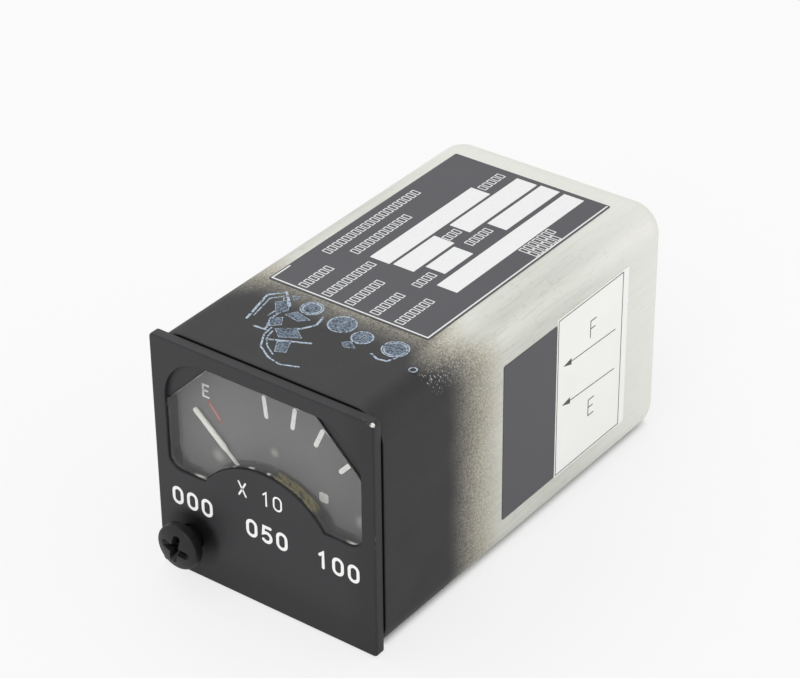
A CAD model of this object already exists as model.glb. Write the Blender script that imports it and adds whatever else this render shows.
import math
import bmesh
import bpy
from mathutils import Matrix, Vector


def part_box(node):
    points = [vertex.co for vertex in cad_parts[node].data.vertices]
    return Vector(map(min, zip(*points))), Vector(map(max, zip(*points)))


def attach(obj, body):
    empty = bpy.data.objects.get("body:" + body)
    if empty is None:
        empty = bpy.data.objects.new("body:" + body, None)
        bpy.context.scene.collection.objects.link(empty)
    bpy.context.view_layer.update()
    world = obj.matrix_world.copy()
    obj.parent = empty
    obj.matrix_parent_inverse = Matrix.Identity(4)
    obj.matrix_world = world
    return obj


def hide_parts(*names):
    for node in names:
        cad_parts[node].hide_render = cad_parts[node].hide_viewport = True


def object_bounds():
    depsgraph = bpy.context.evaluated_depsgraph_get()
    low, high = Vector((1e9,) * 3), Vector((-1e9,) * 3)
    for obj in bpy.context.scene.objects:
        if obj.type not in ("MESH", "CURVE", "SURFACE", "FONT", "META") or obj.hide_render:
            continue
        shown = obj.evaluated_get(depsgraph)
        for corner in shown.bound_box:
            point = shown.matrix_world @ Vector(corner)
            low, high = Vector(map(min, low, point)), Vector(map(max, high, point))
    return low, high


# A panel fuel gauge in its deep can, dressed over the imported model.
# Sizes are in millimetres from the middle of the gauge's face: x to the right, y back from
# the front of the plate and z up, as in the part's source. spot() turns them into metres.
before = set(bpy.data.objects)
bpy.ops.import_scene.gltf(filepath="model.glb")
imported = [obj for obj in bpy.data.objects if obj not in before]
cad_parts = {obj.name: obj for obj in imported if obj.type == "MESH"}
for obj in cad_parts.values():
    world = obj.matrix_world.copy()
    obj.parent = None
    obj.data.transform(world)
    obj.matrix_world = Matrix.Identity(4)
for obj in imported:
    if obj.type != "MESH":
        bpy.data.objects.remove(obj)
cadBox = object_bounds()
mm = 0.001
plateLow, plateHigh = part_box("bezel")
faceMiddle = Vector((0, plateLow.y, (plateLow.z + plateHigh.z) / 2))
print("frame loaded,", len(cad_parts), "nodes")


def spot(x, y, z):
    return faceMiddle + Vector((x, y, z)) * mm


def extent(node):  # a node's lowest and highest corners, in millimetres
    low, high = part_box(node)
    return (low - faceMiddle) / mm, (high - faceMiddle) / mm


def tone(red, green, blue):  # a colour as the eye reads it, 0 to 255, as the linear one that shaders use
    parts = []
    for value in (red, green, blue):
        share = value / 255
        parts.append(share / 12.92 if share <= 0.04045 else ((share + 0.055) / 1.055) ** 2.4)
    return (*parts, 1.0)


def scaled(color, share, lift=0.0):  # a darker or lighter shade of a colour
    return (*(min(1.0, part * share + lift) for part in color[:3]), 1.0)


class Socket:
    # A node's output; Python's operators on it add Math nodes
    def __init__(self, nodes, link):
        self.nodes = nodes
        self.link = link

    def maths(self, operation, *values):
        return self.nodes.add("ShaderNodeMath", {"operation": operation}, dict(enumerate(values)))

    def other(self, name):
        return Socket(self.nodes, self.link.node.outputs[name])

    def __add__(self, value):
        return self.maths("ADD", self, value)

    def __sub__(self, value):
        return self.maths("SUBTRACT", self, value)

    def __rsub__(self, value):
        return self.maths("SUBTRACT", value, self)

    def __mul__(self, value):
        return self.maths("MULTIPLY", self, value)

    def __truediv__(self, value):
        return self.maths("DIVIDE", self, value)

    def __abs__(self):
        return self.maths("ABSOLUTE", self)

    def root(self):
        return self.maths("SQRT", self)

    def atLeast(self, value):
        return self.maths("MAXIMUM", self, value)

    def atMost(self, value):
        return self.maths("MINIMUM", self, value)

    __radd__ = __add__
    __rmul__ = __mul__


class Nodes:
    # A node tree, and the one method that adds any node to it
    def __init__(self, tree):
        self.tree = tree

    def add(self, kind, settings=None, values=None, output=0):
        node = self.tree.nodes.new(kind)
        for name, value in (settings or {}).items():
            setattr(node, name, value)
        for key, value in (values or {}).items():
            self.feed(node.inputs[key], value)
        return Socket(self, node.outputs[output]) if len(node.outputs) else node

    def feed(self, entry, value):
        if isinstance(value, Socket):
            self.tree.links.new(value.link, entry)
        else:
            entry.default_value = value


class Finish(Nodes):
    # One material: a Principled surface and its place in the gauge's millimetres
    def __init__(self, name, color, roughness, metallic=0.0, **constants):
        self.material = bpy.data.materials.new(name)
        self.material.use_nodes = True
        self.material.node_tree.nodes.clear()
        super().__init__(self.material.node_tree)
        values = {"Base Color": color, "Roughness": roughness, "Metallic": metallic}
        values.update({key.replace("_", " "): value for key, value in constants.items()})
        self.shade = self.add("ShaderNodeBsdfPrincipled", None, values)
        self.surface = self.shade.link.node
        self.exit = self.add("ShaderNodeOutputMaterial", None, {"Surface": self.shade})
        coords = self.add("ShaderNodeTexCoord", output="Object")
        centred = self.vector("SUBTRACT", coords, tuple(faceMiddle))
        self.place = self.vector("MULTIPLY", centred, (1 / mm, 1 / mm, 1 / mm))
        parts = self.add("ShaderNodeSeparateXYZ", None, {0: self.place})
        self.x, self.y, self.z = parts, parts.other("Y"), parts.other("Z")

    def vector(self, operation, first, second):
        return self.add("ShaderNodeVectorMath", {"operation": operation}, {0: first, 1: second})

    def noise(self, size, detail=2.0, stretch=(1, 1, 1), seed=0.0, rough=0.5):  # size in millimetres
        place = self.vector("MULTIPLY", self.place, stretch)
        values = {"Vector": place, "W": seed, "Scale": 1 / size, "Detail": detail, "Roughness": rough}
        return self.add("ShaderNodeTexNoise", {"noise_dimensions": "4D"}, values)

    def step(self, value, low, high):  # 0 under low, 1 over high and smooth between them
        values = {"Value": value, "From Min": low, "From Max": high}
        return self.add("ShaderNodeMapRange", {"interpolation_type": "SMOOTHSTEP"}, values)

    def patches(self, low, high, *place, **more):  # where a noise is high: 0 under low, 1 over high
        return self.step(self.noise(*place, **more), low, high)

    def within(self, value, low, high, soft):  # 1 from low to high, falling to 0 over soft
        return self.step(value, low - soft, low) * (1 - self.step(value, high, high + soft))

    def blend(self, factor, first, second):  # from the first colour to the second
        return self.add("ShaderNodeMix", {"data_type": "RGBA"}, {0: factor, 6: first, 7: second}, output=2)

    def layered(self, base, *layers):  # layers, each a mask and its colour, over a base colour
        for mask, color in layers:
            base = self.blend(mask, base, color)
        return base

    def distance(self, u, v):  # how far a place is from an axis along y at (u, v), in millimetres
        across, up = self.x - u, self.z - v
        return (across * across + up * up).root()

    def set(self, name, value):
        self.feed(self.surface.inputs[name], value)

    def coat(self, base, grain, depth, strength):  # the colour, and a grain's bumps, with their depth
        self.set("Base Color", base)
        values = {"Height": grain, "Distance": depth * mm, "Strength": strength}
        self.set("Normal", self.add("ShaderNodeBump", None, values))

    def mixWith(self, share, shader):  # another shader in place of a share of the surface
        mixed = self.add("ShaderNodeMixShader", None, {0: share, 1: self.shade, 2: shader})
        self.feed(self.exit.inputs["Surface"], mixed)


class Grower(Nodes):
    # A Geometry Nodes tree with named sizes; grow() runs it and gives a plain mesh
    def __init__(self, name, sizes):
        tree = bpy.data.node_groups.new(name, "GeometryNodeTree")
        super().__init__(tree)
        tree.interface.new_socket("Geometry", in_out="OUTPUT", socket_type="NodeSocketGeometry")
        for label, value in sizes.items():
            kind = "NodeSocketInt" if isinstance(value, int) else "NodeSocketFloat"
            tree.interface.new_socket(label, in_out="INPUT", socket_type=kind)
        entry = self.add("NodeGroupInput")
        self.values = sizes
        self.sizes = {label: entry.other(label) for label in sizes}

    def grow(self, name, geometry, finish):
        single = self.add("GeometryNodeRealizeInstances", None, {0: geometry})
        painted = self.add("GeometryNodeSetMaterial", None, {"Geometry": single, "Material": finish.material})
        self.add("NodeGroupOutput", None, {0: painted})
        carrier = addObject(name, bpy.data.meshes.new(name))
        modifier = carrier.modifiers.new(name, "NODES")
        modifier.node_group = self.tree
        for item in self.tree.interface.items_tree:
            if item.in_out == "INPUT":
                modifier[item.identifier] = self.values[item.name]
        mesh = plainMesh(carrier)
        carrier.modifiers.remove(modifier)
        bpy.data.objects.remove(carrier)
        return mesh


def addObject(name, data):
    thing = bpy.data.objects.new(name, data)
    bpy.context.scene.collection.objects.link(thing)
    return thing


def meshOf(name, shape):  # a bmesh as a mesh; the bmesh is used up
    mesh = bpy.data.meshes.new(name)
    shape.to_mesh(mesh)
    shape.free()
    return mesh


def plainMesh(thing):  # what the object shows once its modifiers have run
    view = bpy.context.evaluated_depsgraph_get()
    view.update()
    return bpy.data.meshes.new_from_object(thing.evaluated_get(view), depsgraph=view)


def frontwards(u, v, depth):  # shapes drawn on the face, going back into the gauge
    return spot(u, depth, v)


weld = 1e-7  # corners nearer than this, in metres, become one


def addPiece(name, shape, finish, body="gauge", sharp=32.0, replaces=()):
    # Turns a bmesh or a mesh into a finished piece that rides on a body
    mesh = shape
    if isinstance(shape, bmesh.types.BMesh):
        bmesh.ops.remove_doubles(shape, verts=shape.verts, dist=weld)
        mesh = meshOf(name, shape)
    if not mesh.materials:
        mesh.materials.append(finish.material)
    mesh.shade_smooth()
    mesh.set_sharp_from_angle(angle=math.radians(sharp))
    piece = addObject(name, mesh)
    if replaces:
        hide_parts(*replaces)
    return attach(piece, body)


def dress(finish, *nodes):  # gives carried-over nodes their material
    for node in nodes:
        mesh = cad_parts[node].data
        mesh.materials.clear()
        mesh.materials.append(finish.material)


def arc(cu, cv, radius, start, end, steps):  # points along an arc, in degrees
    angles = [math.radians(start + (end - start) * i / steps) for i in range(steps + 1)]
    return [(cu + radius * math.cos(a), cv + radius * math.sin(a)) for a in angles]


quarters = [(1, 1), (-1, 1), (-1, -1), (1, -1)]  # the four corners' signs, anticlockwise


def roundedOutline(width, height, radius, steps=8, cu=0.0, cv=0.0):
    halfU, halfV = width / 2 - radius, height / 2 - radius
    points = []
    for i, (su, sv) in enumerate(quarters):
        points += arc(cu + su * halfU, cv + sv * halfV, radius, 90 * i, 90 * i + 90, steps)
    return points


def circleOutline(cu, cv, radius, steps=32):
    return arc(cu, cv, radius, 0, 360, steps)[:-1]


flatLap = 0.04  # how far a flat end's border runs inside its rounded edge, which keeps the rounding smooth


def roundedWall(outline, front, back, edge, side=1, steps=4, backEdge=None):
    # Levels of a wall with two rounded edges; side is 1 round a solid and -1 round a hole
    backEdge = edge if backEdge is None else backEdge
    turns = [math.pi / 2 * i / steps for i in range(steps + 1)]

    def bend(reach, turn):  # how far in and how deep the rounding is at a turn
        return -side * reach * (1 - math.sin(turn)), reach * (1 - math.cos(turn))

    levels = [(outline(-side * (edge + flatLap)), front)]
    for turn in turns:
        inset, depth = bend(edge, turn)
        levels.append((outline(inset), front + depth))
    for turn in reversed(turns):
        inset, depth = bend(backEdge, turn)
        levels.append((outline(inset), back - depth))
    levels.append((outline(-side * (backEdge + flatLap)), back))
    return levels


def addShell(shape, walls, turn=frontwards):
    # Adds a closed shell: walls of levels, each level (points, depth), and flat ends between the walls
    ends = ([], [])
    before = set(shape.faces)
    for levels in walls:
        rings = [[shape.verts.new(turn(u, v, depth)) for u, v in points] for points, depth in levels]
        for first, second in zip(rings, rings[1:]):
            for i in range(len(first)):
                j = (i + 1) % len(first)
                shape.faces.new((first[i], first[j], second[j], second[i]))
        for end, ring in zip(ends, (rings[0], rings[-1])):
            end += [shape.edges.get((ring[i - 1], ring[i])) for i in range(len(ring))]
    for end in ends:
        bmesh.ops.triangle_fill(shape, use_beauty=True, edges=end)
    bmesh.ops.recalc_face_normals(shape, faces=[face for face in shape.faces if face not in before])
    return shape


def addSlab(shape, outlines, front, back, turn=frontwards):  # a flat form between two depths
    return addShell(shape, [[(points, front), (points, back)] for points in outlines], turn)


def addLathe(shape, profile, cx, cz, steps):
    # Adds a turned form round an axis along y; the profile is (y, radius) from end to end
    rings = []
    for y, radius in profile:
        points = circleOutline(cx, cz, radius, steps) if radius > 0 else [(cx, cz)]
        rings.append([shape.verts.new(spot(u, y, v)) for u, v in points])
    before = set(shape.faces)
    for first, second in zip(rings, rings[1:]):
        for i in range(steps):
            j = (i + 1) % steps
            corners = [ring[k % len(ring)] for ring, k in ((first, i), (first, j), (second, j), (second, i))]
            corners = list(dict.fromkeys(corners))
            if len(corners) > 2:
                shape.faces.new(corners)
    bmesh.ops.recalc_face_normals(shape, faces=[face for face in shape.faces if face not in before])
    return shape


def edgeOffsets(points, distance, closed):  # the points moved sideways by a distance, with mitred turns
    count = len(points)
    moved = []
    for i, (u, v) in enumerate(points):
        before = points[i - 1] if i or closed else None
        after = points[(i + 1) % count] if i < count - 1 or closed else None
        ways = []
        for a, b in ((before, (u, v)), ((u, v), after)):
            if a and b:
                ways.append(Vector((b[0] - a[0], b[1] - a[1])).normalized())
        way = sum(ways, Vector((0, 0))).normalized()
        reach = distance / max(0.5, way.dot(ways[0]))
        moved.append((u - way.y * reach, v + way.x * reach))
    return moved


def addStroke(shape, points, width, front, back, turn=frontwards, closed=False):
    # Adds a painted line with round ends, or a closed one
    half = width / 2
    left = edgeOffsets(points, half, closed)
    right = edgeOffsets(points, -half, closed)
    if closed:
        return addSlab(shape, (left, right), front, back, turn)
    outline = list(reversed(left))
    for end, neighbour in ((points[0], points[1]), (points[-1], points[-2])):
        heading = math.degrees(math.atan2(end[1] - neighbour[1], end[0] - neighbour[0]))
        cap = arc(end[0], end[1], half, heading - 90, heading + 90, 8)[1:-1]
        outline += cap if end == points[0] else []
        outline += right if end == points[0] else cap
    return addSlab(shape, [outline], front, back, turn)


# Plain figures, drawn on a height of 1; each has its lines' points, and whether they close
figureWidth = 0.6
figures = {
    "0": [(arc(0.3, 0.7, 0.3, 0, 180, 10) + arc(0.3, 0.3, 0.3, 180, 360, 10), True)],
    "1": [([(0.12, 0.8), (0.34, 1.0), (0.34, 0.0)], False)],
    "5": [([(0.56, 1.0), (0.1, 1.0), (0.05, 0.54)] + arc(0.29, 0.32, 0.31, 120, -140, 12), False)],
    "E": [([(0.56, 1.0), (0.04, 1.0), (0.04, 0.0), (0.56, 0.0)], False),
          ([(0.04, 0.52), (0.46, 0.52)], False)],
    "F": [([(0.56, 1.0), (0.04, 1.0), (0.04, 0.0)], False), ([(0.04, 0.52), (0.46, 0.52)], False)],
    "X": [([(0.02, 0.0), (0.58, 1.0)], False), ([(0.02, 1.0), (0.58, 0.0)], False)],
    " ": [],
}


def addFigures(shape, words, u, v, height, pitch, width, front, back, turn=frontwards):
    # Adds a line of figures whose middle is at (u, v); width is the line's
    start = -((len(words) - 1) * pitch + figureWidth * height) / 2
    for i, letter in enumerate(words):
        for path, closed in figures[letter]:
            points = [Vector((start + i * pitch + a * height, (b - 0.5) * height)) for a, b in path]
            placed = [(u + point.x, v + point.y) for point in points]
            addStroke(shape, placed, width, front, back, turn, closed)


def addRing(name, shape, count, first, finish, replaces=()):
    # Adds a piece of a shape's copies round the axis along y through the face's middle; first is in degrees
    source = addObject(name, meshOf(name, shape))
    source.data.transform(Matrix.Translation(-faceMiddle))
    grower = Grower(name, {"Count": count, "First angle": math.radians(first)})
    info = grower.add("GeometryNodeObjectInfo", None, {"Object": source}, output="Geometry")
    points = grower.add("GeometryNodeMeshLine", None, {"Count": grower.sizes["Count"], "Offset": (0, 0, 0)})
    index = grower.add("GeometryNodeInputIndex")
    angle = index * math.tau / grower.sizes["Count"] + grower.sizes["First angle"]
    turn = grower.add("ShaderNodeCombineXYZ", None, {"Y": angle})
    copies = grower.add("GeometryNodeInstanceOnPoints", None, {
        "Points": points, "Instance": info, "Rotation": turn})
    mesh = grower.grow(name, copies, finish)
    mesh.transform(Matrix.Translation(faceMiddle))
    bpy.data.objects.remove(source)
    addPiece(name, mesh, finish, replaces=replaces)


# Camera at the photograph's angle; its aim is a point in millimetres and its focus is in the picture's pixels
view = {
    "azimuth": 36.976, "elevation": 32.308, "roll": -0.58, "distance": 344.59,
    "aim": (6.75, 20.0, 15.49), "pixelFocus": 2731.9, "imageWidth": 800, "sensor": 36, "clipStart": 0.01,
}


def makeCamera():
    turn, rise = math.radians(view["azimuth"]), math.radians(view["elevation"])
    backwards = Vector((math.sin(turn) * math.cos(rise), -math.cos(turn) * math.cos(rise), math.sin(rise)))
    level = Vector((math.cos(turn), math.sin(turn), 0))
    upright = backwards.cross(level)
    roll = math.radians(view["roll"])
    right = level * math.cos(roll) + upright * math.sin(roll)
    up = upright * math.cos(roll) - level * math.sin(roll)
    data = bpy.data.cameras.new("camera")
    data.sensor_width = view["sensor"]
    data.lens = view["pixelFocus"] * view["sensor"] / view["imageWidth"]
    data.clip_start = view["clipStart"]
    camera = addObject("camera", data)
    place = spot(*view["aim"]) + backwards * view["distance"] * mm
    camera.matrix_world = Matrix.Translation(place) @ Matrix((right, up, backwards)).transposed().to_4x4()
    bpy.context.scene.camera = camera


# A plain pale floor that shows the background's white, but keeps the shadow round the gauge's footprint
stage = {
    "floorHalf": 3000, "floorColor": tone(242, 242, 242), "seenShare": 0.8, "mirrorShare": 0.4,
    "seenGlow": 0.94, "shadowReach": 1.6, "footprint": (15.6, 34.0, 30.6), "worldLight": 0.86,
    "lampAim": (0, 30, 0),
    "lamps": {
        "frontLamp": {"place": (300, -800, 650), "size": 600, "power": 2.5},
        "keyLamp": {"place": (-500, 150, 900), "size": 900, "power": 2.6},
        "sideLamp": {"place": (900, 500, 350), "size": 800, "power": 1.8},
    },
}


def makeFloor():
    floor = Finish("floorPaper", stage["floorColor"], 0.9)
    path = floor.add("ShaderNodeLightPath")  # its first output is for rays straight from the camera
    seen = path.atLeast(path.other("Is Transmission Ray"))
    glow = floor.add("ShaderNodeEmission", None, {"Color": (1, 1, 1, 1), "Strength": stage["seenGlow"]})
    halfWidth, middle, halfLength = stage["footprint"]
    aside = (abs(floor.x) - halfWidth).atLeast(0.0)
    along = (abs(floor.y - middle) - halfLength).atLeast(0.0)
    clear = floor.step(aside + along, 0.0, stage["shadowReach"])
    share = (seen * clear * stage["seenShare"]).atLeast(path.other("Is Glossy Ray") * stage["mirrorShare"])
    floor.mixWith(share, glow)
    half = stage["floorHalf"] * mm
    shape = bmesh.new()
    lowest = cadBox[0][2]
    corners = [(-half, -half), (half, -half), (half, half), (-half, half)]
    shape.faces.new([shape.verts.new((u, v, lowest)) for u, v in corners])
    mesh = meshOf("floor", shape)
    mesh.materials.append(floor.material)
    ground = addObject("floor", mesh)


def makeLights():
    world = bpy.data.worlds.new("studio")
    world.use_nodes = True
    world.node_tree.nodes.clear()
    nodes = Nodes(world.node_tree)
    path = nodes.add("ShaderNodeLightPath")
    seen = path.atLeast(path.other("Is Transmission Ray"))
    strength = seen * (1 - stage["worldLight"]) + stage["worldLight"]
    light = nodes.add("ShaderNodeBackground", None, {"Color": (1, 1, 1, 1), "Strength": strength})
    nodes.add("ShaderNodeOutputWorld", None, {"Surface": light})
    bpy.context.scene.world = world
    for name, lamp in stage["lamps"].items():
        data = bpy.data.lights.new(name, "AREA")
        data.size = lamp["size"] * mm
        data.energy = lamp["power"]
        place = spot(*lamp["place"])
        heading = (spot(*stage["lampAim"]) - place).to_track_quat("-Z", "Y")
        thing = addObject(name, data)
        thing.matrix_world = Matrix.Translation(place) @ heading.to_matrix().to_4x4()


makeCamera()
makeFloor()
makeLights()
print("camera and stage made")

# The front plate, with its notched window
plate = {
    "width": 35.4, "thick": 1.5, "corner": 0.6, "edge": 0.28,
    "windowWidth": 31.24, "windowTop": 15.4, "windowCorner": 6.5, "lobeDrop": 1.95, "lobeCorner": 2.0,
    "archDrop": 8.6, "archRadius": 11.7, "ledgeDepth": 0.6, "ledgeCut": 7.0, "windowEdge": 0.12,
    "screwAt": (-12.35, -11.75), "screwHole": 1.833, "holeEdge": 0.1,
    "rimWidth": 34.1, "rimCorner": 3.55, "rimThick": 0.65, "rimBack": 4.9, "rimSink": 0.01,
    "paint": tone(44, 44, 46), "wear": tone(126, 126, 124), "bare": tone(215, 214, 208),
    "paintLow": tone(40, 40, 42), "paintHigh": tone(49, 49, 51), "dust": tone(104, 104, 104),
    "grime": tone(16, 16, 17), "screwShade": (-11.9, -11.5, 3.8, 5.4), "gap": tone(14, 14, 15),
    "rightShade": (12.0, 16.5, tone(30, 30, 32)), "lowShade": (-11.0, -15.0, tone(32, 32, 34)),
    "chipAt": (0.15, 0.1), "chipReach": (0.72, 0.82), "backShade": (0.08, 0.02), "backEdge": 0.12,
}


def windowOutline(grow, slanted=False, steps=12):
    # The window's outline, grown by grow, with round or slanted upper corners
    half = plate["windowWidth"] / 2 + grow
    top = plate["windowTop"] + grow
    low = -plate["lobeDrop"] - grow
    lobe = plate["lobeCorner"] + grow
    arch = plate["archRadius"] - grow
    height = plate["archDrop"] + low
    foot = math.degrees(math.asin(height / arch))
    if slanted:
        cut = plate["ledgeCut"] + grow * (2 - math.sqrt(2))
        rise = [(half - cut * i / steps, top - cut + cut * i / steps) for i in range(steps + 1)]
    else:
        corner = plate["windowCorner"] + grow
        rise = arc(half - corner, top - corner, corner, 0, 90, steps)
    right = arc(half - lobe, low + lobe, lobe, -90, 0, 8) + rise
    left = [(-u, v) for u, v in reversed(right)]
    middle = arc(0, -plate["archDrop"], arch, 180 - foot, foot, 30)
    return right + left + middle


def platePaint():
    finish = Finish("blackPlatePaint", plate["paint"], 0.42, Specular_IOR_Level=0.3)
    grain = finish.noise(0.14, 3)
    cloud = finish.noise(6, 3, seed=2.0)
    half, thick = plate["width"] / 2, plate["thick"]
    fromEdge = half - abs(finish.x).atLeast(abs(finish.z))
    rub = finish.noise(0.9, 4, seed=5.0)
    rim = finish.within(fromEdge, 0.02, 0.16, 0.12) * finish.within(finish.y, -1, 0.25, 0.2)
    u, v, near, far = plate["screwShade"]
    grime = 1 - finish.step(finish.distance(u, v) + rub, near, far)
    right, rightEnd, rightTone = plate["rightShade"]
    low, lowEnd, lowTone = plate["lowShade"]
    inset, depth = plate["chipAt"]
    corner = finish.vector("SUBTRACT", finish.place, (half - inset, depth, half - inset))
    length = finish.add("ShaderNodeVectorMath", {"operation": "LENGTH"}, {0: corner}, output="Value")
    chip = 1 - finish.step(length + finish.noise(0.25, 3, seed=4.0) * 0.9, *plate["chipReach"])
    back, backEnd = plate["backShade"]
    base = finish.layered(
        finish.blend(cloud, plate["paintLow"], plate["paintHigh"]),
        (finish.patches(0.74, 0.8, 0.4, 2, seed=9.0) * 0.3, plate["dust"]),
        (grime, plate["grime"]),
        (finish.step(finish.x, right, rightEnd) * 0.6, rightTone),
        (finish.step(finish.z, low, lowEnd) * 0.4, lowTone),
        (finish.step(rub, 0.62, 0.74) * rim * 0.7, plate["wear"]),
        (chip, plate["bare"]),
        (finish.step(finish.y, thick - back, thick - backEnd), plate["gap"]))
    finish.set("Roughness", cloud * 0.14 + grain * 0.12 + 0.34)
    finish.coat(base, grain, 0.02, 0.7)
    return finish


def makePlate(finish):
    shape = bmesh.new()
    width, thick, corner = plate["width"], plate["thick"], plate["corner"]
    outer = roundedWall(lambda g: roundedOutline(width + 2 * g, width + 2 * g, corner + g), 0, thick,
                        plate["edge"], backEdge=plate["backEdge"])
    deep, edge = plate["ledgeDepth"], plate["windowEdge"]
    window = roundedWall(windowOutline, 0, deep, edge, side=-1)[:6]  # the front edge's rounding alone
    window += [(windowOutline(0), deep), (windowOutline(0, True), deep), (windowOutline(0, True), thick)]
    screwU, screwV = plate["screwAt"]
    hole = roundedWall(lambda g: circleOutline(screwU, screwV, plate["screwHole"] + g, 40), 0, thick,
                       plate["holeEdge"], side=-1)
    addShell(shape, [outer, window, hole])
    rim, rimR, wall = plate["rimWidth"], plate["rimCorner"], plate["rimThick"]
    rimWalls = []
    for inset in (0, wall):
        points = roundedOutline(rim - 2 * inset, rim - 2 * inset, rimR - inset)
        rimWalls.append([(points, thick - plate["rimSink"]), (points, plate["rimBack"])])
    addShell(shape, rimWalls)
    addPiece("frontPlate", shape, finish, replaces=["bezel"])


makePlate(platePaint())

# The glass in the window, proud of its flange. Its sides are blackened, and old amber cement shows on the
# right half of the arch
glass = {
    "sink": 0.3, "clear": 0.04, "edge": 0.2, "flangeLap": 0.45, "flangeBack": 2.4,
    "tint": tone(253, 253, 252), "sideBlack": tone(44, 44, 45),
    "amberLow": tone(84, 78, 48), "amberHigh": tone(150, 140, 94), "amberLight": tone(212, 208, 180),
    "cementFrom": 2.3, "cementTo": 7.7, "cementReach": 1.1, "cementTurn": (44, 84), "cementBack": 3.05,
    "cementInset": 0.4, "cementWidth": 0.6, "glint": tone(235, 235, 226),
    "spacerInside": 0.7, "spacer": [(0.1, 2.42), (0.1, 3.94), (0.45, 4.36)],
    "glints": [(-10.9, -1.95, 1.3), (-2.2, 3.0, 0.8), (0.6, 3.1, 0.45), (13.7, -1.9, 1.3)],
}


def clearGlass():
    finish = Finish("windowGlass", glass["tint"], 0.03, Transmission_Weight=1.0, IOR=1.49)
    finish.set("Roughness", finish.patches(0.55, 0.85, 3.5, 4, seed=3.0) * 0.03 + 0.015)
    path = finish.add("ShaderNodeLightPath", output="Is Shadow Ray")
    through = finish.add("ShaderNodeBsdfTransparent", None, {"Color": glass["tint"]})
    finish.mixWith(path, through)
    return finish


def sideFinish():
    # The blackened sides round the window, with old amber cement on the arch's right half and pale glints
    finish = Finish("blackenedSides", glass["sideBlack"], 0.45, Specular_IOR_Level=0.3)
    streak = finish.noise(0.5, 4, (1, 2.5, 1), seed=1.0)
    amber = finish.layered(
        finish.blend(finish.step(streak, 0.3, 0.7), glass["amberLow"], glass["amberHigh"]),
        (finish.patches(0.62, 0.7, 0.35, 3, (1, 4, 1), seed=6.0), glass["amberLight"]),
        (finish.patches(0.52, 0.64, 1.3, 4, (1, 2, 1), seed=9.0), glass["sideBlack"]))
    fromArch = finish.distance(0.0, -plate["archDrop"]) - plate["archRadius"]
    run = finish.within(finish.x + streak, glass["cementFrom"], glass["cementTo"], 0.8)
    onArch = run * finish.within(fromArch, -glass["cementReach"], glass["cementReach"], 0.1)
    base = finish.blend(onArch, glass["sideBlack"], amber)
    for u, v, radius in glass["glints"]:
        near = 1 - finish.step(finish.distance(u, v) + streak * radius, radius * 0.7, radius * 1.4)
        base = finish.blend(near, base, glass["glint"])
    finish.coat(base, streak, 0.03, 0.5)
    return finish


def spacerOutline(grow):  # the spacer's open ring, from lobe to lobe over the top
    ring = slice(8, 36)  # the outline's points without its arch and the lobes' lower ends
    return windowOutline(grow, True)[ring] + list(reversed(windowOutline(glass["spacerInside"], True)[ring]))


def makeGlass(finish):
    clear, edge, thick = glass["clear"], glass["edge"], plate["thick"]
    wall = roundedWall(lambda g: windowOutline(g - clear, True), glass["sink"], thick + 1, edge, steps=5)
    lap, back = glass["flangeLap"], glass["flangeBack"]
    flange = [(-clear, thick), (lap, thick), (lap, back)]
    # The wall's front edge alone is rounded; its foot goes out to the flange
    levels = wall[:7] + [(windowOutline(grow, True), depth) for grow, depth in flange]
    piece = addPiece("windowGlass", addShell(bmesh.new(), [levels]), finish,
                     replaces=["window_lens"])
    sides = sideFinish()
    piece.data.materials.append(sides.material)
    for face in piece.data.polygons:
        depth = (face.center - faceMiddle).y / mm
        if abs(face.normal.y) < 0.3 or thick - 0.01 < depth < back - 0.01:  # a side, or the flange's front
            face.material_index = 1
    shape = addShell(bmesh.new(), [[(spacerOutline(grow), depth) for grow, depth in glass["spacer"]]])
    addPiece("windowSpacer", shape, sides, replaces=["lens_spacer"])
    low, high = glass["cementTurn"]
    strip = arc(0, -plate["archDrop"], plate["archRadius"] - glass["cementInset"], low, high, 16)
    front = glass["spacer"][0][1]
    cement = addStroke(bmesh.new(), strip, glass["cementWidth"], front, glass["cementBack"])
    addPiece("archCement", cement, sides)


makeGlass(clearGlass())
print("plate and glass made")

# The dial: its printed marks, and the pointer over it
dial = {
    "face": 4.4, "ink": 0.03, "white": tone(254, 254, 252), "red": tone(138, 84, 82), "pivotDrop": 5.2,
    "redCore": tone(180, 132, 128),
    "ticks": [(-6.6, 14.75, 17.4), (9.6, 14.8, 17.55), (24.4, 14.8, 17.5), (42.1, 14.85, 16.9)],
    "tickWidth": 0.66, "paint": tone(99, 99, 101), "low": tone(93, 93, 95), "high": tone(104, 104, 106),
    "speck": tone(128, 128, 128), "glow": tone(200, 200, 192), "rightShade": (5.0, 13.0, tone(84, 84, 86)),
    "redTick": (-40.2, 14.4, 17.2), "redWidth": 0.84, "redCoreWidth": 0.3,
    "letterAt": (-11.55, 9.46), "letterHeight": 1.75, "letterWidth": 0.27,
    "patchAt": (7.15, 0.72), "patchSize": 1.45, "patchCorner": 0.35, "patch": tone(222, 222, 218),
    "glows": [(-9.9, 0.2, 1.5), (-0.6, 4.4, 1.0), (13.1, -0.7, 1.5)],
}


def dialPaint():
    finish = Finish("dialGrey", dial["paint"], 0.6)
    start, end, shade = dial["rightShade"]
    base = finish.layered(
        finish.blend(finish.noise(7, 3), dial["low"], dial["high"]),
        (finish.patches(0.72, 0.8, 0.3, 2, seed=4.0) * 0.3, dial["speck"]),
        (finish.step(finish.x, start, end) * 0.9, shade))
    for u, v, radius in dial["glows"]:
        near = 1 - finish.step(finish.distance(u, v), 0.0, radius)
        base = finish.blend(near * 0.5, base, dial["glow"])
    finish.coat(base, finish.noise(0.16, 2), 0.002, 0.2)
    return finish


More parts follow.
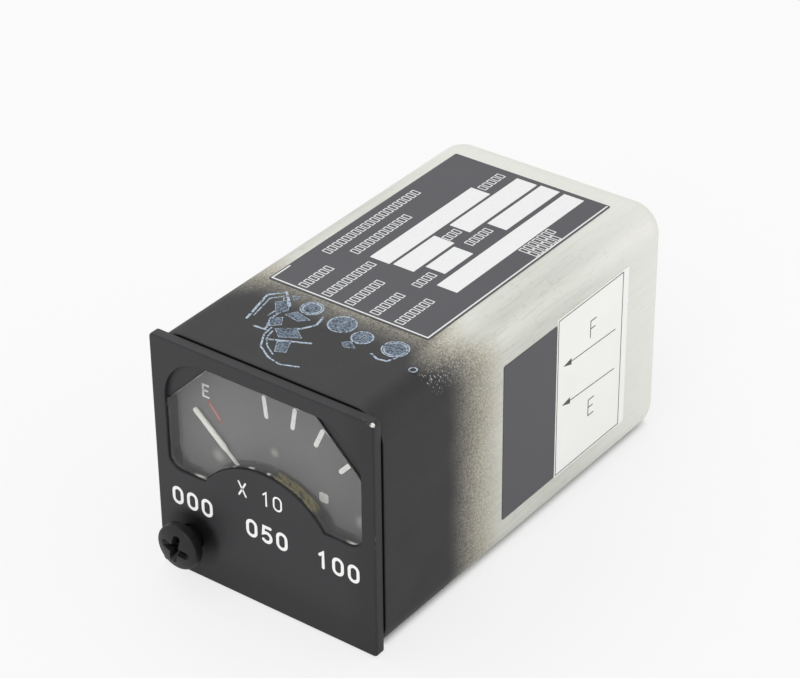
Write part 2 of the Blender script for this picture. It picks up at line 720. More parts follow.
def inkFinish(name, color, wear=0.2):
    finish = Finish(name, color, 0.5)
    base = finish.blend(finish.patches(0.25, 0.6, 0.25, 4, seed=7.0), scaled(color, 1 - wear), color)
    finish.coat(base, finish.noise(0.07, 2), 0.004, 0.4)
    return finish


def radial(angle, inner, outer):  # a line on the dial, its angle counted clockwise from straight up
    turn = math.radians(angle)
    return [(r * math.sin(turn), r * math.cos(turn) - dial["pivotDrop"]) for r in (inner, outer)]


def makeDialMarks():
    front, back = dial["face"] - dial["ink"], dial["face"]
    shape = bmesh.new()
    for tick in dial["ticks"]:
        addStroke(shape, radial(*tick), dial["tickWidth"], front, back)
    u, v = dial["letterAt"]
    addFigures(shape, "E", u, v, dial["letterHeight"], 1, dial["letterWidth"], front, back)
    addPiece("dialMarks", shape, inkFinish("dialWhiteInk", dial["white"]))
    shape = addStroke(bmesh.new(), radial(*dial["redTick"]), dial["redWidth"], front, back)
    addPiece("dialRedMark", shape, inkFinish("dialRedInk", dial["red"]))
    angle, inner, outer = dial["redTick"]
    core = radial(angle, inner + dial["redCoreWidth"], outer - dial["redCoreWidth"])
    shape = addStroke(bmesh.new(), core, dial["redCoreWidth"], front - 0.01, front)
    addPiece("dialRedCore", shape, inkFinish("dialPinkInk", dial["redCore"]))
    size = dial["patchSize"]
    patch = roundedOutline(size, size, dial["patchCorner"], 5, *dial["patchAt"])
    shape = addSlab(bmesh.new(), [patch], front, back)
    addPiece("dialPatch", shape, inkFinish("dialPaleInk", dial["patch"]))


def pointerPaint():
    finish = Finish("pointerWhite", tone(250, 249, 243), 0.45)
    base = finish.blend(finish.noise(1.2, 3), tone(244, 242, 232), tone(253, 252, 248))
    finish.coat(base, finish.noise(0.05, 2), 0.003, 0.5)
    return finish


dress(dialPaint(), "dial_plate")
dress(pointerPaint(), "pointer")
makeDialMarks()
print("dial made")

# Figures painted on the plate under the window; bold and thin give their height, pitch and line width
legend = {
    "paint": 0.02, "color": tone(240, 240, 238),
    "bold": (2.3, 2.45, 0.46), "thin": (2.0, 1.9, 0.26),
    "words": [("000", -11.9, -5.96, "bold"), ("050", 0.4, -5.96, "bold"), ("100", 11.8, -5.96, "bold"),
              ("X 10", -0.5, -0.4, "thin")],
}


def makeLegend():
    finish = inkFinish("legendWhite", legend["color"], 0.08)
    shape = bmesh.new()
    for words, u, v, style in legend["words"]:
        addFigures(shape, words, u, v, *legend[style], -legend["paint"], 0)
    addPiece("plateFigures", shape, finish)


makeLegend()

# The can, sprayed black at the front and bare metal behind
can = {
    "width": 36.0, "corner": 4.5, "front": 1.7, "back": 66.0, "wall": 0.8, "endRadius": 3.6,
    "lip": 0.25, "lipBevel": 0.2, "endFlat": 0.05, "bendSteps": 8, "leastCorner": 0.05,
    "blackTo": 13.4, "fadeTo": 27.7, "metal": tone(200, 201, 194),
    "metalLow": tone(194, 195, 187), "metalHigh": tone(210, 211, 204), "metalRear": tone(232, 232, 226),
    "streak": tone(176, 176, 167), "haze": tone(196, 184, 156), "stain": tone(150, 148, 140),
    "spot": tone(168, 166, 156), "sprayLow": tone(38, 38, 39), "sprayHigh": tone(48, 48, 49),
    "sprayGrain": tone(62, 62, 63), "sprayEdge": tone(66, 60, 50), "under": tone(92, 90, 84),
    "nick": tone(206, 206, 200),
    "leads": [(14.8, 18.2, 2.4), (-14.8, 18.2, 1.6)], "edgeLead": (16.4, 17.8), "rearFade": (38, 64),
    "underEdge": (-16.3, -15.7), "nickX": (15.4, 17.4), "nickY": (13, 19), "nickZ": (0.0, 4.0),
    "holes": [(0.0, 0.0, 6.02), (*plate["screwAt"], 2.423), (-13.2, 13.2, 0.9), (13.2, -13.2, 0.9)],
    "flangeHoles": 7.545, "flangeHole": 1.3,
}


def canFinish():
    finish = Finish("canSprayedMetal", can["metal"], 0.45, 0.9, Specular_IOR_Level=0.3)
    drift = finish.noise(7, 2, seed=1.0) * 2.4 - 1.2
    reach = finish.y + drift - finish.step(finish.x, *can["edgeLead"]) * 0.9
    for u, v, lead in can["leads"]:
        reach = reach + (1 - finish.step(finish.distance(u, v), 0.5, 3.0)) * lead
    cover = 1 - finish.step(reach, can["blackTo"], can["fadeTo"])
    speckle = finish.noise(0.22, 2, seed=6.0, rough=0.8)
    loose = cover * (1 - cover) * 4
    painted = (cover + (speckle - 0.5) * loose * 1.7).atLeast(0.0).atMost(1.0)
    cloud = finish.noise(14, 4, seed=3.0)
    metal = finish.layered(
        finish.blend(cloud, can["metalLow"], can["metalHigh"]),
        (finish.patches(0.45, 0.75, 1.4, 4, (6, 0.25, 6), seed=8.0) * 0.5, can["streak"]),
        (loose * 0.4, can["haze"]),
        (finish.patches(0.62, 0.8, 5, 5, seed=12.0) * 0.25, can["stain"]),
        (finish.patches(0.56, 0.74, 0.7, 5, (1, 0.6, 1), seed=21.0) * 0.4, can["spot"]),
        (finish.step(finish.y, *can["rearFade"]) * 0.6, can["metalRear"]))
    black = finish.layered(
        finish.blend(finish.noise(5, 3, seed=4.0), can["sprayLow"], can["sprayHigh"]),
        (finish.step(speckle, 0.5, 0.8) * 0.5, can["sprayGrain"]),
        (loose * 0.8, can["sprayEdge"]))
    front = can["front"]
    black = finish.blend(finish.step(finish.y, front + 0.03, front + 0.09), plate["gap"], black)
    under = 1 - finish.step(finish.z + finish.noise(2, 3, seed=17.0) * 0.4, *can["underEdge"])
    nicks = finish.patches(0.6, 0.66, 0.35, 3, (1, 2.2, 1), seed=15.0)
    nicks = nicks * finish.within(finish.x, *can["nickX"], 0.5) * finish.within(finish.y, *can["nickY"], 1.5)
    nicks = nicks * finish.step(finish.z, *can["nickZ"])
    base = finish.layered(
        finish.blend(painted, metal, black), (under * 0.75, can["under"]), (nicks * 0.8, can["nick"]))
    finish.set("Metallic", (1 - painted) * 0.4)
    finish.set("Roughness", cloud * 0.12 + 0.42)
    fine = finish.noise(0.12, 3, seed=2.0)
    finish.coat(base, fine * 0.4 + finish.noise(12, 2, seed=5.0) * 1.6, 0.03, 0.5)
    return finish


def makeCan(finish):
    shape = bmesh.new()
    width, corner, back, wall = can["width"], can["corner"], can["back"], can["wall"]

    def canLevel(inset, y, radius):
        return roundedOutline(width - 2 * inset, width - 2 * inset, max(radius, can["leastCorner"]), 12), y

    levels = []
    for side, offset in ((1, 0.0), (-1, wall)):
        bend = can["endRadius"] - offset
        part = [canLevel(offset + bend + can["endFlat"], back - offset, corner - offset - bend)]
        for i in range(can["bendSteps"] + 1):
            turn = math.pi / 2 * i / can["bendSteps"]
            inset = offset + bend * (1 - math.sin(turn))
            part.append(canLevel(inset, back - offset - bend * (1 - math.cos(turn)), corner - inset))
        part.append(canLevel(offset, can["front"] + can["lip"], corner - offset))
        bevel = side * can["lipBevel"]
        part.append(canLevel(offset + bevel, can["front"], corner - offset - bevel))
        levels += part[::side]
    holes = [circleOutline(*hole) for hole in can["holes"]]
    reach = can["flangeHoles"]
    holes += [circleOutline(su * reach, sv * reach, can["flangeHole"]) for su in (-1, 1) for sv in (-1, 1)]
    walls = [levels] + [[(points, back), (points, back - wall)] for points in holes]
    addShell(shape, walls)
    addPiece("canShell", shape, finish, replaces=["case_can"], sharp=40)


makeCan(canFinish())
print("can made")

# Labels, each a thin foil with its printing
labelMid = 0.02  # thickness of the printing, taken off the foil under it
printBack = labelMid + 0.005  # the printing goes a little into the foil


def topwards(u, v, depth):  # shapes drawn on the can's top: u along x, v along y
    return spot(u, v, extent("data_label")[1].z - depth)


def sidewards(u, v, depth):  # shapes drawn on the can's right side: u along y, v up
    return spot(extent("seal_label")[1].x - depth, u, v)


dataLabel = {
    "corner": 0.25, "edge": 0.03, "foilLow": tone(60, 60, 65), "foilHigh": tone(70, 70, 75),
    "white": tone(222, 223, 222), "rule": 0.22, "inset": 0.35, "ruleFrom": 4, "fieldCorner": 0.08,
    "fields": [
        (-5.95, -2.8, 30.5, 53.35), (-2.35, 0.95, 30.75, 39.85), (-2.35, 0.95, 43.3, 59.15),
        (1.45, 4.55, 32.7, 39.05), (1.45, 4.55, 46.6, 59.35), (5.35, 8.55, 29.8, 59.25),
    ],
    "cell": 0.62, "cellPitch": 1.02, "cellHeight": 1.3, "cellLine": 0.2,
    "rows": [
        (-11.3, 28.4, 48.6), (-8.5, 19.9, 25.4), (-8.3, 30.5, 42.2), (-4.7, 19.9, 29.2), (-4.6, 54.2, 58.6),
        (-1.0, 19.9, 26.9), (-0.6, 40.4, 42.8), (3.0, 19.9, 25.7), (3.3, 28.4, 32.2), (2.6, 41.0, 45.9),
        (6.9, 19.9, 26.8), (9.5, 43.6, 50.3), (11.0, 43.6, 49.4),
    ],
}


def foilFinish(name, dark, light, roughness):
    finish = Finish(name, dark, roughness)
    cloud = finish.noise(5, 4, seed=2.0)
    scuff = finish.patches(0.68, 0.8, 0.5, 5, (1, 4, 1), seed=8.0) * 0.35
    base = finish.blend(scuff, finish.blend(cloud, dark, light), scaled(light, 1.5, 0.02))
    finish.set("Roughness", cloud * 0.12 + (roughness - 0.06))
    finish.coat(base, finish.noise(0.1, 2), 0.006, 0.4)
    return finish


def makeFoil(name, node, turn, finish, across, along):  # across and along are the foil's own axes
    low, high = extent(node)
    sizes = (high[across] - low[across], high[along] - low[along])
    centre = ((high[across] + low[across]) / 2, (high[along] + low[along]) / 2)
    thick = min(high[i] - low[i] for i in range(3))
    corner = dataLabel["corner"]

    def outline(grow):
        return roundedOutline(sizes[0] + 2 * grow, sizes[1] + 2 * grow, corner + grow, 4, *centre)

    levels = roundedWall(outline, labelMid, thick, dataLabel["edge"], steps=2)
    addPiece(name, addShell(bmesh.new(), [levels], turn), finish, replaces=[node])
    return low, high


def makeDataLabel():
    finish = foilFinish("dataFoil", dataLabel["foilLow"], dataLabel["foilHigh"], 0.42)
    low, high = makeFoil("dataLabel", "data_label", topwards, finish, 0, 1)
    white = inkFinish("labelWhiteInk", dataLabel["white"], 0.06)
    shape = bmesh.new()
    for left, right, near, far in dataLabel["fields"]:
        middle = ((left + right) / 2, (near + far) / 2)
        points = roundedOutline(right - left, far - near, dataLabel["fieldCorner"], 3, *middle)
        addSlab(shape, [points], 0, printBack, topwards)
    inset = dataLabel["inset"]
    west, east, south, north = low.x + inset, high.x - inset, low.y + inset, high.y - inset
    border = [(west, low.y + dataLabel["ruleFrom"]), (west, south), (east, south), (east, north)]
    addStroke(shape, border, dataLabel["rule"], 0, printBack, topwards)
    addPiece("dataLabelPrint", shape, white)
    sizes = {"Cell": dataLabel["cell"], "Height": dataLabel["cellHeight"], "Line": dataLabel["cellLine"],
             "Pitch": dataLabel["cellPitch"]}
    cells = Grower("labelCells", sizes)
    frameLine, stroke = [
        cells.add("GeometryNodeCurvePrimitiveQuadrilateral", None, {"Width": width, "Height": height})
        for width, height in ((cells.sizes["Height"], cells.sizes["Cell"]), (cells.sizes["Line"], labelMid))]
    cell = cells.add("GeometryNodeCurveToMesh", None, {"Curve": frameLine, "Profile Curve": stroke})
    gap = cells.add("ShaderNodeCombineXYZ", None, {"Y": cells.sizes["Pitch"]})
    joined = cells.add("GeometryNodeJoinGeometry")
    for u, start, end in dataLabel["rows"]:
        count = int((end - start) / dataLabel["cellPitch"]) + 1
        row = cells.add("GeometryNodeMeshLine", None, {
            "Count": count, "Start Location": (u, start, 0), "Offset": gap})
        marks = cells.add("GeometryNodeInstanceOnPoints", None, {"Points": row, "Instance": cell})
        cells.feed(joined.link.node.inputs[0], marks)
    mesh = cells.grow("labelCells", joined, white)
    mesh.transform(Matrix.Translation(topwards(0, 0, labelMid / 2)) @ Matrix.Scale(mm, 4))
    addPiece("dataLabelCells", mesh, white)


calLabel = {
    "white": tone(226, 227, 222), "whiteHigh": tone(233, 234, 230), "ink": tone(70, 70, 68), "rule": 0.13,
    "inset": 0.3, "farInset": 1.4, "sealLow": tone(58, 58, 62), "sealHigh": tone(66, 66, 70),
    "arrows": [(40.5, 4.85, 53.0, 4.35, "F", 7.45), (40.4, -1.25, 53.0, -1.95, "E", -5.05)],
    "head": 1.9, "headHalf": 0.5, "letterY": 47.5, "letterHeight": 2.5, "letterWidth": 0.16,
}


def makeSideLabels():
    seal = foilFinish("sealFoil", calLabel["sealLow"], calLabel["sealHigh"], 0.46)
    makeFoil("sealLabel", "seal_label", sidewards, seal, 1, 2)
    film = foilFinish("calibrationFilm", calLabel["white"], calLabel["whiteHigh"], 0.4)
    low, high = makeFoil("calibrationLabel", "calibration_label", sidewards, film, 1, 2)
    ink = inkFinish("labelDarkInk", calLabel["ink"], 0.1)
    shape = bmesh.new()
    rule, head, half = calLabel["rule"], calLabel["head"], calLabel["headHalf"]
    for tipY, tipZ, endY, endZ, letter, letterZ in calLabel["arrows"]:
        slope = (endZ - tipZ) / (endY - tipY)
        baseZ = tipZ + slope * head
        addStroke(shape, [(tipY + head * 0.8, baseZ), (endY, endZ)], rule, 0, printBack, sidewards)
        points = [(tipY, tipZ), (tipY + head, baseZ - half), (tipY + head, baseZ + half)]
        addSlab(shape, [points], 0, printBack, sidewards)
        addFigures(shape, letter, calLabel["letterY"], letterZ, calLabel["letterHeight"], 1,
                   calLabel["letterWidth"], 0, printBack, sidewards)
    inset = calLabel["inset"]
    near, far, south, north = low.y + inset, high.y - calLabel["farInset"], low.z + inset, high.z - inset
    border = [(near, south), (far, south), (far, north), (near, north)]
    addStroke(shape, border, rule, 0, printBack, sidewards, closed=True)
    addPiece("calibrationPrint", shape, ink)


makeDataLabel()
makeSideLabels()
print("labels made")

# Pale blue ink stamped on the black top, drawn as plain shapes: blots and rings have x, y and radius, then a
# blot its hole's width; patches have their corners, and lines their points and width
stamps = {
    "height": 0.012, "outline": 0.2, "steps": 28,
    "fill": (tone(96, 108, 122), tone(140, 156, 174), 0.75),
    "line": (tone(138, 158, 180), tone(198, 210, 222), 0.9),
    "blots": [(-4.2, 16.1, 1.1, 0.0), (1.24, 15.3, 1.75, 0.3), (5.17, 14.3, 1.3, 0.42),
              (10.1, 14.6, 1.35, 0.0)],
    "rings": [(-4.2, 16.1, 1.5), (10.1, 14.6, 1.75), (14.65, 12.1, 0.5)],
    "patches": [
        [(-4.9, 9.6), (-2.8, 11.1), (-1.0, 9.8), (-3.4, 8.4)],
        [(-2.8, 7.4), (-1.5, 8.3), (-0.5, 6.1), (-1.7, 5.5)],
        [(-6.0, 13.0), (-5.2, 14.3), (-2.8, 13.7), (-3.8, 12.7)],
        [(3.8, 12.0), (4.6, 12.7), (5.9, 11.8), (4.6, 11.3)],
        [(-8.0, 17.0), (-7.2, 17.4), (-7.3, 16.4)],
        [(-8.9, 14.6), (-7.9, 15.6), (-6.4, 14.0), (-7.2, 12.6)],
        [(-6.9, 11.2), (-5.9, 12.2), (-5.0, 10.8), (-6.0, 9.8)],
    ],
    "lines": [
        ([(-9.5, 9.5), (-10.9, 15.4), (-9.3, 17.3), (-6.9, 15.0), (-7.0, 11.3), (-5.9, 8.8), (-7.5, 8.6)],
         0.34),
        ([(-9.2, 10.6), (-10.1, 14.9), (-9.0, 16.3), (-7.6, 14.8), (-7.7, 11.6)], 0.2),
        ([(-4.3, 10.0), (-2.3, 11.5), (-1.3, 13.2), (-1.7, 15.2)], 0.34), ([(-4.3, 7.1), (0.8, 9.5)], 0.34),
        ([(-5.5, 9.5), (-5.3, 7.8), (-3.9, 5.4), (-1.6, 4.0), (0.6, 3.5), (2.9, 4.4)], 0.26),
        ([(-4.9, 9.0), (-4.6, 7.6), (-3.4, 6.0), (-1.5, 4.8)], 0.2),
        ([(8.3, 12.0), (9.6, 11.5), (10.9, 11.8), (11.4, 13.1)], 0.3),
    ],
}


def stampFinish(name, dark, light, cover):
    finish = Finish(name, light, 0.7)
    patchy = finish.noise(0.28, 4, seed=3.0)
    finish.set("Alpha", finish.step(patchy, 0.3, 0.55) * cover)
    finish.set("Base Color", finish.blend(patchy, dark, light))
    return finish


def makeStamps():
    top = extent("case_can")[1].z
    fills, lines = bmesh.new(), bmesh.new()
    front, width, steps = -stamps["height"], stamps["outline"], stamps["steps"]

    def onCan(u, v, depth):
        return spot(u, v, top - depth)

    for u, v, radius, hole in stamps["blots"]:
        holes = [roundedOutline(hole, radius * 1.1, hole / 3, 4, u, v)] if hole else []
        addSlab(fills, [circleOutline(u, v, radius, steps)] + holes, front, 0.0, onCan)
        for points in [circleOutline(u, v, radius + width / 2, steps)] + holes:
            addStroke(lines, points, width, front, 0.0, onCan, closed=True)
    for u, v, radius in stamps["rings"]:
        addStroke(lines, circleOutline(u, v, radius, steps), width, front, 0.0, onCan, closed=True)
    for points in stamps["patches"]:
        addSlab(fills, [points], front, 0.0, onCan)
        addStroke(lines, points, width, front, 0.0, onCan, closed=True)
    for points, size in stamps["lines"]:
        addStroke(lines, points, size, front, 0.0, onCan)
    addPiece("inkStampFills", fills, stampFinish("stampFill", *stamps["fill"]))
    addPiece("inkStampLines", lines, stampFinish("stampLine", *stamps["line"]))


makeStamps()
print("stamps made")


def cutAway(shape, cutter):  # a bmesh shape less another one, as a plain mesh
    things = []
    for name, form in (("kept", shape), ("cutter", cutter)):
        bmesh.ops.remove_doubles(form, verts=form.verts, dist=weld)
        bmesh.ops.recalc_face_normals(form, faces=form.faces)
        things.append(addObject(name, meshOf(name, form)))
    kept, tool = things
    modifier = kept.modifiers.new("cut", "BOOLEAN")
    modifier.object = tool
    modifier.solver = "EXACT"
    mesh = plainMesh(kept)
    kept.modifiers.remove(modifier)
    for thing in things:
        bpy.data.objects.remove(thing)
    return mesh


def crossOutline(reach, width, lean, cu, cv):  # a cross with rounded ends
    half = width / 2
    points = []
    for turn in range(4):
        arm = [(half, half), (half, reach - half)] + arc(0, reach - half, half, 0, 180, 6)[1:-1]
        arm += [(-half, reach - half)]
        spin = Matrix.Rotation(math.radians(90 * turn + lean), 2)
        for a, b in arm:
            point = spin @ Vector((a, b))
            points.append((cu + point.x, cv + point.y))
    return points


def paintFinish(name, dark, light, roughness, size=4.0, grain=0.01):
    finish = Finish(name, dark, roughness, Specular_IOR_Level=0.4)
    cloud = finish.noise(size, 4, seed=3.0)
    finish.set("Roughness", cloud * 0.12 + (roughness - 0.06))
    finish.coat(finish.blend(cloud, dark, light), finish.noise(0.12, 3), grain, 0.5)
    return finish


def metalFinish(name, dark, light, roughness, stretch=(1, 1, 1), size=1.2):
    finish = Finish(name, dark, roughness, 1.0)
    streak = finish.noise(size, 4, stretch, seed=2.0)
    stain = finish.patches(0.58, 0.75, 2.5, 4, seed=7.0) * 0.3
    base = finish.blend(stain, finish.blend(streak, dark, light), scaled(dark, 0.6))
    finish.set("Roughness", streak * 0.15 + (roughness - 0.07))
    finish.coat(base, streak, 0.006, 0.5)
    return finish


# The captive mounting screw: a domed head with a cross recess, and a thread at its far end
screw = {
    "head": 3.25, "front": -3.67, "thick": 2.0, "dome": 9.0, "edge": 0.16,
    "shank": 1.753, "end": 76.4, "groove": (68.55, 69.15), "grooveDepth": 0.4, "threadFrom": 69.5,
    "core": 1.42, "pitch": 0.794, "wing": 2.35, "wingWidth": 1.15, "wingDepth": 1.4, "wingLean": 12,
    "wingLead": 0.6, "wingRise": 0.4, "wingFoot": [(1.15, 0.6, 0.0), (0.75, 0.5, 0.02)],
    "threadRadius": 1.5, "threadStop": 0.55, "ridge": 0.245, "behindFrom": 0.66, "behindTo": 0.82,
    "blackLow": tone(22, 22, 23), "blackHigh": tone(34, 34, 35), "behind": tone(9, 9, 10),
}


def screwBlack():
    finish = Finish("screwBlack", tone(38, 38, 39), 0.44, Specular_IOR_Level=0.3)
    front = screw["front"]
    behind = finish.step(finish.y, front + screw["behindFrom"], front + screw["behindTo"])
    base = finish.blend(finish.noise(1.2, 4, seed=3.0), screw["blackLow"], screw["blackHigh"])
    finish.coat(finish.blend(behind, base, screw["behind"]), finish.noise(0.12, 3), 0.02, 0.5)
    return finish


def makeScrew(finish):
    cx, cz = plate["screwAt"]
    front, head, dome, edge, shank = [screw[key] for key in ("front", "head", "dome", "edge", "shank")]
    back = front + screw["thick"]
    profile = [(front, 0.0)]
    for i in range(1, 13):
        radius = (head - edge) * i / 12
        profile.append((front + dome - math.sqrt(dome * dome - radius * radius), radius))
    rim = front + dome - math.sqrt(dome * dome - head * head)
    low, high = screw["groove"]
    groove = shank - screw["grooveDepth"]
    start, end, core = screw["threadFrom"], screw["end"], screw["core"]
    profile += [
        (rim + edge * 0.2, head - edge * 0.3), (rim + edge * 0.8, head), (back - 0.12, head),
        (back, head - 0.12), (back, shank + 0.15), (back + 0.15, shank),
        (low - 0.1, shank), (low, shank - 0.06), (low + 0.02, groove), (high - 0.02, groove),
        (high, shank - 0.06), (high + 0.1, shank), (start - 0.3, shank),
        (start, core), (end - 0.5, core), (end, core - 0.45), (end, 0.0),
    ]
    wing, width, deep = screw["wing"], screw["wingWidth"], front + screw["wingDepth"]
    crosses = [(wing, width, front - screw["wingLead"]), (wing, width, rim - screw["wingRise"])]
    crosses += [(reach, wide, deep + more) for reach, wide, more in screw["wingFoot"]]
    levels = [(crossOutline(reach, wide, -screw["wingLean"], cx, cz), y) for reach, wide, y in crosses]
    cutter = addShell(bmesh.new(), [levels])
    mesh = cutAway(addLathe(bmesh.new(), profile, cx, cz, 72), cutter)
    addPiece("mountingScrew", mesh, finish, body="captive_screw",
             replaces=["mounting_screw"])
    length = end - screw["threadStop"] - start
    thread = Grower("screwThread", {
        "Turns": length / screw["pitch"], "Length": length, "Radius": screw["threadRadius"],
        "Ridge": screw["ridge"]})
    coil = thread.add("GeometryNodeCurveSpiral", None, {
        "Resolution": 28, "Rotations": thread.sizes["Turns"], "Start Radius": thread.sizes["Radius"],
        "End Radius": thread.sizes["Radius"], "Height": thread.sizes["Length"]})
    ridge = thread.add("GeometryNodeCurvePrimitiveCircle", None, {
        "Resolution": 8, "Radius": thread.sizes["Ridge"]})
    wound = thread.add("GeometryNodeCurveToMesh", None, {
        "Curve": coil, "Profile Curve": ridge, "Fill Caps": True})
    mesh = thread.grow("screwThread", wound, finish)
    upright = Matrix.Rotation(math.radians(-90), 4, "X")
    mesh.transform(Matrix.Translation(spot(cx, start, cz)) @ upright @ Matrix.Scale(mm, 4))
    addPiece("screwThread", mesh, finish, body="captive_screw")


makeScrew(screwBlack())
print("mounting screw made")

# The rear connector, with its bayonet lugs, contacts and screws, and the can's own screws
connector = {
    "flange": 20.6, "flangeCorner": 2.5, "flangeAt": (66.5, 67.9), "shell": 6.0, "wall": 0.8, "end": 77.5,
    "inner": 59.0, "bore": 4.6, "holePitch": 15.09, "lugRadius": 0.7, "lugTop": 6.6, "lugAt": 74.3,
    "insert": 4.58, "insertFrom": 60.0, "insertFace": 70.4, "contacts": 4, "contactReach": 2.3,
    "cups": [(0.52, 60.0), (0.52, 70.2), (0.72, 70.4)], "contactFrom": 61.0, "contactEnd": 75.3,
    "holeRadius": 1.2, "edge": 0.15, "headEdge": 0.18, "lugDepth": 0.9, "lugTopRadius": 0.602,
    "flangeScrew": (1.1, 1.75, 0.5), "caseScrew": (0.9, 1.3, 0.4), "caseReach": 13.2,
}


def screwHead(y, thick, radius, width):  # a round head that faces the rear, with a slot of a width
    edge, outer, half = connector["headEdge"], y + thick, width / 2
    profile = [
        (y - 0.3, 0.0), (y - 0.3, radius * 0.5), (y, radius * 0.5), (y, radius - 0.05), (y + 0.05, radius),
        (outer - edge, radius), (outer - edge * 0.3, radius - edge * 0.3), (outer, radius - edge),
        (outer, 0.0),
    ]
    corners = [(-radius - 1, -half), (radius + 1, -half), (radius + 1, half), (-radius - 1, half)]
    cutter = addSlab(bmesh.new(), [corners], outer - thick * 0.5, outer + 1.0)
    return cutAway(addLathe(bmesh.new(), profile, 0, 0, 36), cutter)


def makeFlange(finish):
    shape = bmesh.new()
    near, far = connector["flangeAt"]
    size, corner, shell = connector["flange"], connector["flangeCorner"], connector["shell"]
    outer = roundedWall(lambda g: roundedOutline(size + 2 * g, size + 2 * g, corner + g, 8), near, far,
                        connector["edge"])
    reach = connector["holePitch"] / 2
    circles = [circleOutline(0, 0, shell - 0.3, 64)]
    circles += [circleOutline(su * reach, sv * reach, connector["holeRadius"], 20) for su, sv in quarters]
    addShell(shape, [outer] + [[(points, near), (points, far)] for points in circles])
    end, bore, inner = connector["end"], connector["bore"], connector["inner"]
    inside = shell - connector["wall"]
    profile = [
        (inner, bore), (inner, shell - 0.1), (inner + 0.1, shell), (end - 0.2, shell),
        (end - 0.06, shell - 0.06), (end, shell - 0.2), (end, inside + 0.15), (end - 0.15, inside),
        (far - 0.5, inside), (far - 0.5, bore), (inner, bore),
    ]
    addLathe(shape, profile, 0, 0, 64)
    addPiece("connectorShell", shape, finish, replaces=["connector_shell"])
    lug, depth = bmesh.new(), connector["lugDepth"]
    bmesh.ops.create_cone(lug, cap_ends=True, segments=24, radius1=connector["lugRadius"] * mm,
                          radius2=connector["lugTopRadius"] * mm, depth=depth * mm)
    bmesh.ops.rotate(lug, verts=lug.verts, matrix=Matrix.Rotation(math.radians(90), 3, "Y"))
    middle = spot(connector["lugTop"] - depth / 2, connector["lugAt"], 0)
    bmesh.ops.translate(lug, verts=lug.verts, vec=middle)
    addRing("bayonetLugs", lug, 3, -90, finish)


def makeInsert(finish, gold):
    face, radius = connector["insertFace"], connector["insert"]
    walls = [roundedWall(lambda g: circleOutline(0, 0, radius + g, 48), connector["insertFrom"], face,
                         connector["edge"])]
    around, count = connector["contactReach"], connector["contacts"]
    for i in range(count):
        turn = math.radians(45 + 90 * i)
        place = (around * math.cos(turn), around * math.sin(turn))
        walls.append([(circleOutline(*place, wide, 20), y) for wide, y in connector["cups"]])
    addPiece("connectorInsert", addShell(bmesh.new(), walls), finish,
             replaces=["connector_insert"])
    start, tip = connector["contactFrom"], connector["contactEnd"]
    profile = [
        (start, 0.0), (start, 0.5), (tip - 0.5, 0.5), (tip - 0.2, 0.42), (tip - 0.05, 0.25), (tip, 0.0),
    ]
    pin = addLathe(bmesh.new(), profile, around, 0, 24)
    addRing("connectorPins", pin, count, 45, gold, ["connector_pins"])


def makeScrewHeads(name, node, finish, y, sizes, count, reach):  # screws at a square's corners
    shape = bmesh.new()
    shape.from_mesh(screwHead(y, *sizes))
    bmesh.ops.translate(shape, verts=shape.verts, vec=(reach * math.sqrt(2) * mm, 0, 0))
    addRing(name, shape, count, 45, finish, [node])


def makeConnector():
    makeFlange(metalFinish("connectorOlive", tone(118, 116, 84), tone(140, 136, 98), 0.42, size=3))
    grey = paintFinish("insertGrey", tone(60, 60, 64), tone(72, 72, 76), 0.6, size=2)
    makeInsert(grey, metalFinish("contactGold", tone(196, 158, 84), tone(226, 190, 112), 0.25))
    steel = metalFinish("screwSteel", tone(176, 176, 176), tone(204, 204, 202), 0.32)
    makeScrewHeads("flangeScrewHeads", "connector_screws", steel, connector["flangeAt"][1],
                   connector["flangeScrew"], 4, connector["holePitch"] / 2)
    makeScrewHeads("caseScrewHeads", "case_screws", steel, can["back"], connector["caseScrew"], 2,
                   connector["caseReach"])


makeConnector()
print("connector made")

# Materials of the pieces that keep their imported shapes
dress(metalFinish("steelBright", tone(180, 180, 180), tone(208, 208, 206), 0.3),
      "dial_screw", "bridge_screws", "front_jewel_screw", "rear_jewel_screw", "movement_screws", "staffs",
      "board_screws", "connector_nuts")
dress(metalFinish("brassWorn", tone(186, 150, 84), tone(212, 178, 108), 0.34, size=1.6),
      "front_bridge", "bridge_posts", "front_jewel_nut", "rear_bridge", "rear_jewel_nut", "core_blocks",
      "rear_spring_anchor", "zero_lever", "front_posts", "rear_posts", "front_hairspring",
      "rear_hairspring", "balance_weights")
dress(metalFinish("aluminiumSatin", tone(190, 191, 193), tone(214, 214, 214), 0.42, (1, 6, 1)),
      "coil_former", "chassis_plate", "board_brackets", "guide_tube")
dress(metalFinish("softIron", tone(150, 152, 156), tone(172, 174, 178), 0.38, (4, 1, 4)), "yoke_ring")
dress(metalFinish("magnetGrey", tone(110, 110, 114), tone(134, 134, 138), 0.5), "core_magnet")
dress(metalFinish("springSteel", tone(132, 126, 116), tone(156, 150, 138), 0.36), "retaining_ring")
dress(metalFinish("trimmerBrass", tone(206, 168, 92), tone(228, 196, 120), 0.28),
      "full_trimmer_screw", "empty_trimmer_screw")
dress(paintFinish("rubberBlack", tone(34, 34, 34), tone(46, 46, 46), 0.8, grain=0.02),
      "case_gasket", "connector_gasket")
dress(paintFinish("plasticBlack", tone(36, 36, 37), tone(44, 44, 45), 0.6), "pointer_stops")
dress(paintFinish("trimmerBlue", tone(44, 84, 158), tone(56, 98, 176), 0.36),
      "full_trimmer_housing", "empty_trimmer_housing")
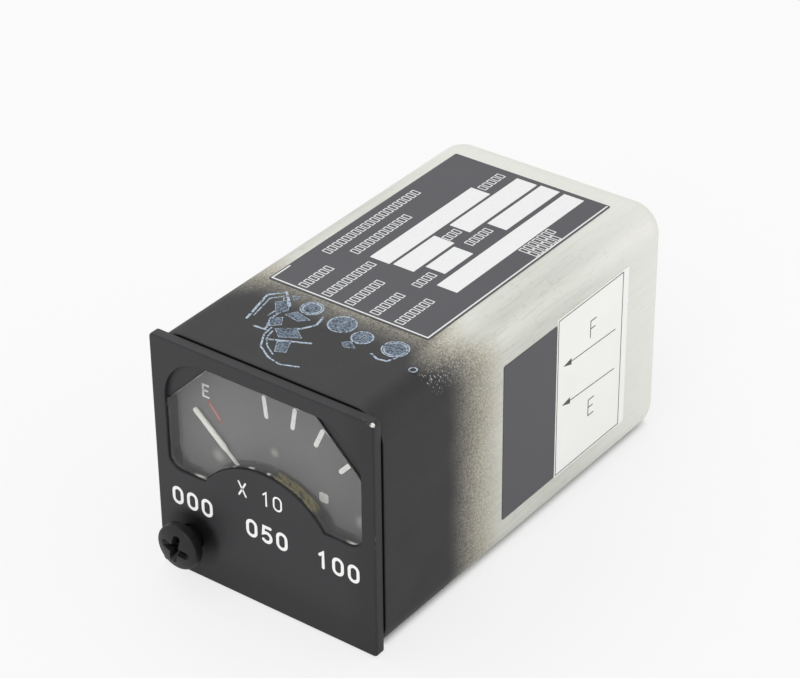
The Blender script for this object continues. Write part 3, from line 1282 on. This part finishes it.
dress(paintFinish("componentBlack", tone(40, 40, 42), tone(50, 50, 52), 0.55),
      "amplifier_chip", "regulator", "diodes")
dress(paintFinish("wireRed", tone(160, 44, 36), tone(184, 58, 48), 0.4), "wiring")
dress(paintFinish("wireYellow", tone(196, 174, 62), tone(214, 192, 78), 0.4), "coil_leads")


def windingFinish():
    finish = Finish("windingCopper", tone(176, 102, 58), 0.3, 0.8)
    wave = finish.add("ShaderNodeTexWave", {"bands_direction": "Z"}, {
        "Vector": finish.place, "Scale": 2.2, "Distortion": 0.6, "Detail": 1.0}, output="Fac")
    finish.coat(finish.blend(wave, tone(132, 70, 40), tone(196, 118, 70)), wave, 0.03, 0.7)
    return finish


def boardFinish():
    finish = Finish("boardGreen", tone(52, 104, 62), 0.34)
    flat = finish.vector("MULTIPLY", finish.place, (0, 1, 1))
    tracks = finish.add("ShaderNodeTexBrick", {"offset": 0.5}, {
        "Vector": flat, "Color1": (0, 0, 0, 1), "Color2": (0, 0, 0, 1), "Mortar": (1, 1, 1, 1),
        "Scale": 0.2, "Mortar Size": 0.05, "Brick Width": 0.9, "Row Height": 0.5})
    mask = tracks * finish.patches(0.42, 0.5, 6, 1, seed=5.0)
    finish.coat(finish.blend(mask, tone(48, 100, 58), tone(82, 134, 76)), mask, 0.03, 0.5)
    return finish


def bandedFinish(name, ground, marks, size):  # a body with coloured bands round it, along y
    finish = Finish(name, ground, 0.42)
    wave = finish.add("ShaderNodeTexWave", {"bands_direction": "Y"}, {
        "Vector": finish.place, "Scale": 1 / size, "Distortion": 0.0}, output="Fac")
    base = finish.blend(finish.step(wave, 0.8, 0.86), ground, marks)
    finish.coat(base, finish.noise(0.3, 3), 0.01, 0.5)
    return finish


dress(windingFinish(), "coil_winding")
dress(boardFinish(), "main_board")
dress(bandedFinish("capacitorBlue", tone(52, 66, 118), tone(186, 190, 200), 9.0), "capacitors")
dress(bandedFinish("resistorTan", tone(204, 178, 138), tone(140, 62, 44), 3.2), "resistors")
print("carried-over pieces dressed")

bpy.context.scene.view_settings.view_transform = "Standard"
